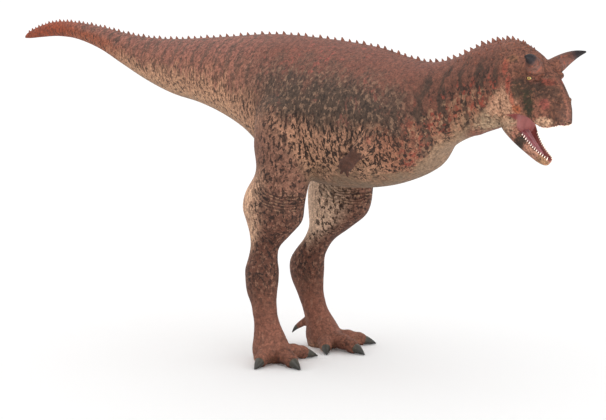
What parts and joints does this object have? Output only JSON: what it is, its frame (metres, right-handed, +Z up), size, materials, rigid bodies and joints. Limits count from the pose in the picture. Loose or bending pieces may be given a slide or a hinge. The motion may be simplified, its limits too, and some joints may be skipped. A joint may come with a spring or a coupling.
{
  "type": "living carnotaurus dinosaur",
  "caption": "Life-size horned meat-eating dinosaur standing on two legs with its mouth open, a straight level tail, tiny arms and a row of small spines along its back.",
  "frame": {"origin": "middle of the whole animal's footprint box, on the floor that its soles and claws stand on", "axes": "+X from the tail towards the head, +Y towards the animal's left side, +Z up"},
  "size_m": [7.9808, 1.636, 3.3904],
  "materials": {
    "skin": "dry scaly hide, mottled mauve brown above and tan below",
    "mouth": "moist flesh",
    "eye": "wet and glossy, yellow",
    "horn": "dull horn",
    "claw": "worn dark horn"
  },
  "bodies": {
    "root": {"arm_l": "skin", "arm_r": "skin", "claw_hallux_l": "claw", "claw_hallux_r": "claw", "claw_inner_l": "claw", "claw_inner_r": "claw", "claw_middle_l": "claw", "claw_middle_r": "claw", "claw_outer_l": "claw", "claw_outer_r": "claw", "eye_l": "eye", "eye_r": "eye", "foot_l": "skin", "foot_r": "skin", "head": "skin", "horn_l": "horn", "horn_r": "horn", "lower_jaw": "skin", "mouth_lining": "mouth", "neck": "skin", "shank_l": "skin", "shank_r": "skin", "tail_base": "skin", "tail_mid": "skin", "tail_tip": "skin", "thigh_l": "skin", "thigh_r": "skin", "tongue": "mouth", "torso": "skin"}
  },
  "joints": []
}
